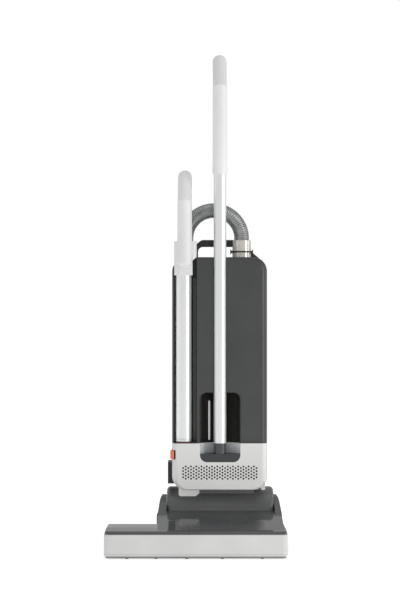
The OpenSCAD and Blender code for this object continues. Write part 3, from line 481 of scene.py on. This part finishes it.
def base_outline(side, foot):
    """The panel from the front as (x, z), drawn in by `side` at its sides and `foot` at its foot."""
    left, right, low, high, corner = -0.05895, 0.17895, 0.15105, 0.275, 0.038

    def bend(x, start, end):
        return [(x + (corner - side) * math.cos(a), low + corner + (corner - foot) * math.sin(a))
                for a in arc(start, end, 5)]

    return ([(left + side, high)] + bend(left + corner, 180, 270) + bend(right - corner, 270, 360)
            + [(right - side, high)])


base_roll = [(0, 0, panel_back)] + [(side_roll * (1 - math.cos(a)), foot_roll * (1 - math.cos(a)),
                                     roll_start - side_roll * math.sin(a)) for a in arc(0, 90, 9)]
rounded("deep_shell", "base_shell", "upper_body", light_abs, 0.0014)
rounded("grille_panel", "base_front", "upper_body", light_abs, 0.0004,
        source=trimmed("base_front", [[(x, y, z) for x, z in base_outline(side, foot)]
                                      for side, foot, y in base_roll]))


def fleece(name, low, high, roughness, fibres, depth, detail=5, curl=1.5, strength=0.6, **settings):
    """Soft felted fibres that scatter the light, so that it has no highlight at all.

    A real fibre is about 0.03 mm thick, which is too fine to show, so a metre takes `fibres` of
    them, each 1 mm or more; `depth` is the depth of the felt in mm.
    """
    material = surface(name, Roughness=roughness, IOR=1.45, **settings)
    place = add(material, "ShaderNodeTexCoord")
    felt = add(material, "ShaderNodeTexNoise", [("Vector", place, "Object")],
               Scale=fibres, Detail=detail, Distortion=curl)
    tones(material, felt, low, high)
    bump = add(material, "ShaderNodeBump", [("Height", felt, "Fac")],
               Strength=strength, Distance=depth / 1000)
    feed(material, "Normal", bump, "Normal")
    return material


dress(fleece("carbon_fleece", "#0d0d0e", "#1e1e20", 0.9, 900, 0.4), "exhaust_filter")

# the duct's cover is a dull black, and the release an orange red with a soft gloss
black_abs = moulded("black_abs", "#151616", "#1b1c1c", 0.45)
rounded("duct_cover", "side_duct_cover", "upper_body", black_abs, 0.0009)
signal_abs = moulded("signal_abs", "#cf7158", "#d67c64", 0.3)
rounded("wand_release", "release_button", "release", signal_abs, 0.0012)

# ---------- Inside the base ----------
# The suction motor in its cast can, its impeller of pressed aluminium, the control board and the
# motor's inlet filter. Cast metal is pitted and dull, pressed metal smoother and brighter.

cast_aluminium = worked("cast_aluminium", "#85878a", "#9c9ea1", 0.5, (420, 420, 420), depth=0.15)
pressed_aluminium = worked("pressed_aluminium", "#b4b7ba", "#cccfd2", 0.3, (90, 90, 1200))
# green solder resist over glass laminate
laminate = moulded("green_laminate", "#1f5a38", "#2b6d46", 0.3, grain=2.5)
rounded("motor_casting", "suction_motor", "upper_body", cast_aluminium, 0.0015)
dress(pressed_aluminium, "fan_impeller")
dress(laminate, "control_board")
dress(fleece("white_fleece", "#d2d6da", "#eef1f3", 0.92, 800, 0.5), "motor_filter")

# ---------- Handle socket and recess ----------
# The socket is a satin moulding that two cross-head screws hold in the base. The recess above it
# is a high-gloss black lining, which mirrors the handle tube.

socket_x, socket_y, cup_radius = 0.061, 0.002, 0.017
lip_top, cup_back = 0.2432, -0.013

# painted light and shade: the cup is dark, the walls are painted paler to make up the light
# the recess shuts out, and the lip in front is painted darkest as shade
socket_abs = moulded("socket_abs", "#393d3f", "#424648", 0.3, grain=2)
painted_light_wall_abs = moulded("painted_light_grey_abs", "#cdd0d2", "#d8dbdd", 0.2, grain=2)
painted_shade_lip_abs = moulded("painted_shade_lip_abs", "#2b2f31", "#323638", 0.34, grain=2)
socket = rounded("tube_socket", "handle_socket", "upper_body", socket_abs, 0.0009)
socket.data.materials.append(painted_light_wall_abs)
socket.data.materials.append(painted_shade_lip_abs)
# the walls' faces take the painted light and the lip's faces the painted shade
for face in socket.data.polygons:
    spot = face.center
    off_centre = math.hypot(spot.x - socket_x, spot.y - socket_y)
    if spot.z < lip_top and spot.y < 0:
        face.material_index = 2
    elif spot.z > lip_top and spot.y > cup_back and off_centre > cup_radius:
        face.material_index = 1
# a phosphate black dulls the screws to a dark grey
black_steel = worked("black_steel", "#474a4c", "#565a5c", 0.45, (700, 700, 700))
dress(black_steel, "socket_screws")
black_gloss = moulded("black_gloss_abs", "#1c1b18", "#22211e", 0.1, ior=1.53, grain=8, depth=0.01,
                      spread=0.02)
rounded("gloss_recess", "niche_liner", "upper_body", black_gloss, 0.0006)

bead_foot, bead_out = Vector((0.0338, 0.0199, 0)), Vector((0.483, -0.875, 0))
bead_low, bead_high = 0.276, 0.378
bead_half, bead_proud, bead_sunk = 0.0030, 0.0022, 0.0004


def bead_mesh(rings=24, spokes=12):
    """A half-round bead with round ends up the recess's wall, whose normal is bead_out."""
    across = Vector((-bead_out.y, bead_out.x, 0))
    points = []
    for i in range(rings + 1):
        t = -math.cos(math.pi * i / rings)
        z = (bead_low + bead_high) / 2 + t * (bead_high - bead_low) / 2
        near_end = min(1, (min(z - bead_low, bead_high - z) + 1e-5) / bead_half)
        size = math.sqrt(1 - (1 - near_end) ** 2)
        for k in range(spokes + 1):
            a = math.pi * k / spokes
            flat = (bead_foot + across * (bead_half * size * math.cos(a))
                    + bead_out * (bead_proud * size * math.sin(a) - bead_sunk))
            points.append((flat.x, flat.y, z))
    return closed_mesh("painted_reflection_bead", points,
                       skin(rings + 1, spokes + 1) + ends(rings + 1, spokes + 1))


# a near-white bead up the recess beside the tube: its colour is a painted reflection
painted_reflection_trim = worked("painted_reflection_trim", "#f2f3f3", "#f8f9f9", 0.3, (1500, 1500, 25), metallic=0.0,
                     depth=0.005)
piece("painted_reflection_bead", bead_mesh(), "upper_body", (), painted_reflection_trim)

# ---------- Upper housing ----------
# A satin front cover, rolled round at its right and top edges, on a back half that holds the dust
# bag. The wand stands in a trough between them.

recess_left, recess_right, recess_top, rim_radius = 0.008, 0.115, 0.400, 0.0026
cover_face, cover_front, cover_depth = -0.0038, -0.004, 0.044
brow, brow_low, brow_rise = 0.0036, 0.70, 0.041
# beside its flat face the cover steps down to a slanted band: (side, top, y) in mm
cover_roll = [(0, 0, 45), (0, 0, 30), (0, 0.1, 16), (0, 0.4, 5.6), (0.2, 0.7, 3.2), (0.7, 1.1, 1.4),
              (1.5, 1.8, 0.0), (2.6, 2.8, -1.0), (9.0, 9.0, -2.7), (9.4, 9.4, -2.95),
              (10.8, 10.8, -3.7), (11.3, 11.3, -3.9)]

satin_abs = moulded("satin_abs", "#383a39", "#3f4140", 0.34, grain=1.3, depth=0.04)


def cover_outline(side, top):
    """The cover from the front as (x, z), drawn in by `side` at its right and `top` at its top."""
    left, low, right, high, corner = 0.0, 0.265, 0.18095, 0.74095, 0.035
    bend = [(right - corner + (corner - side) * math.cos(a),
             high - corner + (corner - top) * math.sin(a)) for a in arc(0, 90, 5)]
    return [(left, low), (right - side, low)] + bend + [(left, high - top)]


cover = trimmed("front_cover", [[(x, y / 1000, z) for x, z in cover_outline(side / 1000, top / 1000)]
                                for side, top, y in cover_roll])
bm = bmesh.new()
bm.from_mesh(cover)
bmesh.ops.dissolve_limit(bm, angle_limit=math.radians(0.5), verts=bm.verts, edges=bm.edges)
# the edge round the recess is rolled
rim = [edge for edge in bm.edges
       if all(v.co.y < cover_face and recess_left < v.co.x < recess_right and v.co.z < recess_top
              for v in edge.verts)
       and len(edge.link_faces) == 2 and edge.calc_face_angle(0) > math.radians(30)]
bmesh.ops.bevel(bm, geom=rim, offset=rim_radius, segments=4, profile=0.5, affect="EDGES",
                clamp_overlap=True)
# the top edge stands up as a low brow towards the front
for corner in bm.verts:
    forward = 1 - (corner.co.y - cover_front) / cover_depth
    corner.co.z += brow * max(0, (corner.co.z - brow_low) / brow_rise) * forward
bm.to_mesh(cover)
bm.free()
rounded("satin_cover", "front_cover", "upper_body", satin_abs, 0.0010, source=cover)
rounded("bag_housing", "rear_housing", "upper_body", satin_abs, 0.0010)

# ---------- Wand ----------
# A drawn and satin-anodised aluminium tube with a ferrule line near its foot, which stands on a
# red silicone ring. Its collar, sleeve and grip are pale satin mouldings.

wand_x, wand_y, wand_r = -0.0314, 0.013, 0.0205
ferrule_low, ferrule_high = 0.2802, 0.2811
collar_left, collar_right, collar_front, collar_back = -0.05615, 0.00185, -0.008, 0.070
left_roll, left_depth, right_roll = 0.018, 0.020, 0.010

# dark red with a soft gloss
silicone = moulded("red_silicone", "#7c2519", "#8b2f21", 0.45, ior=1.41)
dress(silicone, "dock_seal")
# the oxide film scatters most of the light, so the tube looks bright and soft
anodised = worked("satin_anodised", "#e4e5e6", "#e8e9e9", 0.3, (1500, 1500, 25), metallic=0.5,
                  depth=0.001, spread=0.015)
rounded("wand_shaft", "wand_tube", "wand", anodised, 0.0004)


def ring_mesh(name, x, y, low, high, inner, outer, around=96):
    """A flat ring round a vertical axis, with its outer edges eased."""
    ease = min((high - low) / 3, (outer - inner) / 2)
    section = [(inner, low), (outer - ease, low), (outer, low + ease), (outer, high - ease),
               (outer - ease, high), (inner, high)]
    turns = [2 * math.pi * i / around for i in range(around)]
    points = [(x + r * math.cos(a), y + r * math.sin(a), z) for a in turns for r, z in section]
    return closed_mesh(name, points, skin(around, len(section), looped=True), smooth_to=35)


# bare zinc is greyer and duller than the tube, so the ferrule reads as a thin dark line
zinc_steel = worked("zinc_steel", "#5d5f61", "#77797b", 0.4, (700, 700, 700))
piece("wand_ferrule", ring_mesh("wand_ferrule", wand_x, wand_y, ferrule_low, ferrule_high,
                                wand_r - 0.0004, wand_r + 0.00012), "wand", (), zinc_steel)

# pale and dull, so that the grips show hardly a highlight
grip_abs = moulded("grip_abs", "#d9dad9", "#e1e2e1", 0.42, grain=1.6, depth=0.03)
collar_plan = [(collar_left + left_roll * (1 - math.cos(a)),
                collar_front + left_depth * (1 - math.sin(a))) for a in arc(0, 90, 6)]
collar_plan += [(collar_right - right_roll * (1 - math.sin(a)),
                 collar_front + right_roll * (1 - math.cos(a))) for a in arc(0, 90, 6)]
collar_plan += [(collar_right, collar_back), (collar_left, collar_back)]
rounded("wand_elbow", "wand_collar", "wand", grip_abs, 0.0012,
        source=trimmed("wand_collar", [[(x, y, z) for x, y in collar_plan] for z in (0.690, 0.790)]))
rounded("wand_grip_sleeve", "wand_sleeve", "wand", grip_abs, 0.0006)
rounded("wand_grip_bar", "wand_grip", "wand", grip_abs, 0.0006)

# ---------- Hose socket ----------
# A warm grey moulding with a satin metal plating, let into the top of the housing, and a black
# bayonet ring that locks the hose.

cup_foot, cup_sunk = 0.7412, 0.003

plated_abs = worked("plated_abs", "#d3cfc8", "#d8d5cf", 0.17, (20, 20, 300), metallic=0.5,
                    depth=0.001, spread=0.015)
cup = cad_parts["hose_connector"].data.copy()
for corner in cup.vertices:
    if corner.co.z < cup_foot:
        corner.co.z -= cup_sunk
rounded("hose_cup", "hose_connector", "upper_body", plated_abs, 0.0012, source=cup)
rounded("bayonet_ring", "lock_ring", "upper_body", black_nylon, 0.0006)

# ---------- Carry handle ----------
# A bar of textured ABS on two sloping legs. It is screwed on the housing's top from inside, and
# its edges are well rounded for the hand.

rounded("carry_bar", "carry_handle", "upper_body", textured_abs, 0.0025)

# ---------- Long handle ----------
# The same satin-anodised tube as the wand's, in a sleeve and a grip of pale satin plastic. The
# grip has a rougher mould, and its grey is a shade darker than the sleeve's: painted shade.

rounded("handle_shaft", "handle_tube", "upper_body", anodised, 0.0004)
rounded("handle_grip_sleeve", "handle_sleeve", "upper_body", grip_abs, 0.0006)
# painted shade: the grip's grey is darker than the sleeve's
painted_shade_abs = moulded("painted_shade_grip_abs", "#cfd0cf", "#d6d7d6", 0.6, grain=1.6, depth=0.03)
rounded("handle_grip_bar", "handle_grip", "upper_body", painted_shade_abs, 0.0006)

# ---------- Dust bag ----------
# A sewn bag of soft fleece with a welded fold down each side. It hangs from a stiff card collar
# with a round mouth, and bellies out with what it holds.

bag_left, bag_right, bag_front, bag_back = -0.042, 0.162, 0.048, 0.110
bag_low, bag_high = 0.302, 0.6895
fold_depth = 0.010
mouth_x, mouth_y, card_low, card_high = 0.060, 0.082, 0.6898, 0.6928


def bag_mesh(rings=56, around=96):
    """The bag: narrow at its foot and its top, folded in at both sides, with faint creases."""
    middle = Vector(((bag_left + bag_right) / 2, (bag_front + bag_back) / 2, 0))
    half_w, half_d = (bag_right - bag_left) / 2, (bag_back - bag_front) / 2
    points = []
    for i in range(rings + 1):
        t = i / rings
        z = bag_low + (bag_high - bag_low) * t
        swell = math.sin(math.pi * t) ** 0.35
        wide = half_w * (0.80 + 0.20 * swell)
        deep = half_d * (0.12 + 0.88 * swell)
        for k in range(around):
            a = 2 * math.pi * k / around
            c, s = math.cos(a), math.sin(a)
            # a rounded oblong, drawn in at its two sides by the folds
            x = wide * math.copysign(abs(c) ** 0.55, c)
            y = deep * math.copysign(abs(s) ** 0.75, s)
            x -= math.copysign(math.exp(-(s / 0.22) ** 2) * fold_depth * swell, c)
            slanted, level = math.sin(9 * a + 11 * t), math.sin(23 * t + 3 * a)
            crease = 1 - 0.028 * (0.5 + 0.5 * slanted) * (0.5 + 0.5 * level)
            points.append((middle.x + x * crease, middle.y + y * crease, z))
    faces = skin(rings + 1, around) + ends(rings + 1, around)
    return closed_mesh("fleece_bag", points, faces, smooth_to=60)


bag_fleece = fleece("bag_fleece", "#d0cabd", "#e9e5dc", 0.93, 700, 0.6, detail=6, curl=2,
                    strength=0.5, Sheen_Weight=0.3)
bag = piece("fleece_bag", bag_mesh(), "upper_body", ["filter_bag"], bag_fleece)
# pressed board, dull and a little mottled
card = moulded("grey_card", "#a39a88", "#b3aa98", 0.8, grain=1.5, depth=0.1)
piece("card_collar", ring_mesh("card_collar", mouth_x, mouth_y, card_low, card_high, 0.017, 0.022),
      "upper_body", (), card)

# ---------- Rear fittings ----------
# The bag door with its latch and hinge pins, two cable hooks, the rocker switch and the gland that
# a cable would enter by.

rounded("door_panel", "bag_door", "rear_door", satin_abs, 0.0010)
rounded("door_catch", "door_latch", "latch", textured_abs, 0.0008)
dress(turned_steel, "door_hinge_pins")
rounded("fixed_hook", "cable_hook_lower", "upper_body", textured_abs, 0.0016)
rounded("turning_hook", "cable_hook_upper", "upper_hook", textured_abs, 0.0016)
rounded("rocker_key", "power_switch", "rocker", black_gloss, 0.0006)
rounded("cable_inlet_gland", "cable_gland", "upper_body", black_nylon, 0.0006)

# ---------- Stage ----------
# A plain pale floor in an even white studio. The stronger of the two side lights is on the right,
# and wide panels beside and behind the machine draw the light edges of its tubes and covers.

floor_reach, floor_z = 12, -0.0005

floor_mesh = bpy.data.meshes.new("studio_floor")
floor_mesh.from_pydata([(x * floor_reach, y * floor_reach, floor_z)
                        for x, y in ((-1, -1), (1, -1), (1, 1), (-1, 1))], [], [(0, 1, 2, 3)])
floor = bpy.data.objects.new("studio_floor", floor_mesh)
bpy.context.scene.collection.objects.link(floor)
# matt paper, lit a little from within so that it stays as white as the backdrop
paper = surface("white_paper", Roughness=0.9, IOR=1.45, Emission_Color=(1, 1, 1, 1),
                Emission_Strength=0.5)
place = add(paper, "ShaderNodeTexCoord")
cloud = add(paper, "ShaderNodeTexNoise", [("Vector", place, "Object")], Scale=3, Detail=2)
tones(paper, cloud, "#f4f4f4", "#f6f6f6")
floor_mesh.materials.append(paper)

world = bpy.data.worlds.new("studio")
bpy.context.scene.world = world
world.use_nodes = True
background = world.node_tree.nodes["Background"]
background.inputs["Color"].default_value = (1, 1, 1, 1)
# the camera sees a full white, and the machine is lit by about half of that
path = add(world, "ShaderNodeLightPath")
level = add(world, "ShaderNodeMapRange", [("Value", path, "Is Camera Ray")],
            To_Min=0.55, To_Max=1.02)
world.node_tree.links.new(level.outputs["Result"], background.inputs["Strength"])


def softbox(name, place, aim_z, width, height, watts):
    """A soft panel of light that the camera doesn't see, turned to a point inside the body."""
    light = bpy.data.lights.new(name, "AREA")
    light.shape = "RECTANGLE"
    light.size, light.size_y, light.energy = width, height, watts
    box = bpy.data.objects.new(name, light)
    box.location = place
    aim = Vector((0.05, 0.0, aim_z))
    box.rotation_euler = (aim - Vector(place)).to_track_quat("-Z", "Y").to_euler()
    box.visible_camera = False
    bpy.context.scene.collection.objects.link(box)


softbox("right_softbox", (2.6, -1.6, 0.9), 0.6, 0.7, 1.8, 23)
softbox("left_softbox", (-2.6, -1.8, 1.1), 0.6, 0.6, 2.2, 2)
softbox("top_softbox", (0.1, -0.6, 3.2), 0.4, 2.4, 1.6, 15)
softbox("right_rim", (2.7, 0.1, 0.7), 0.6, 0.9, 1.8, 6)
softbox("left_rim", (-2.7, 0.1, 0.8), 0.6, 0.9, 2.0, 4)
softbox("back_light", (0.05, 3.2, 1.1), 0.7, 5.0, 2.6, 4)
bpy.context.scene.view_settings.view_transform = "Standard"
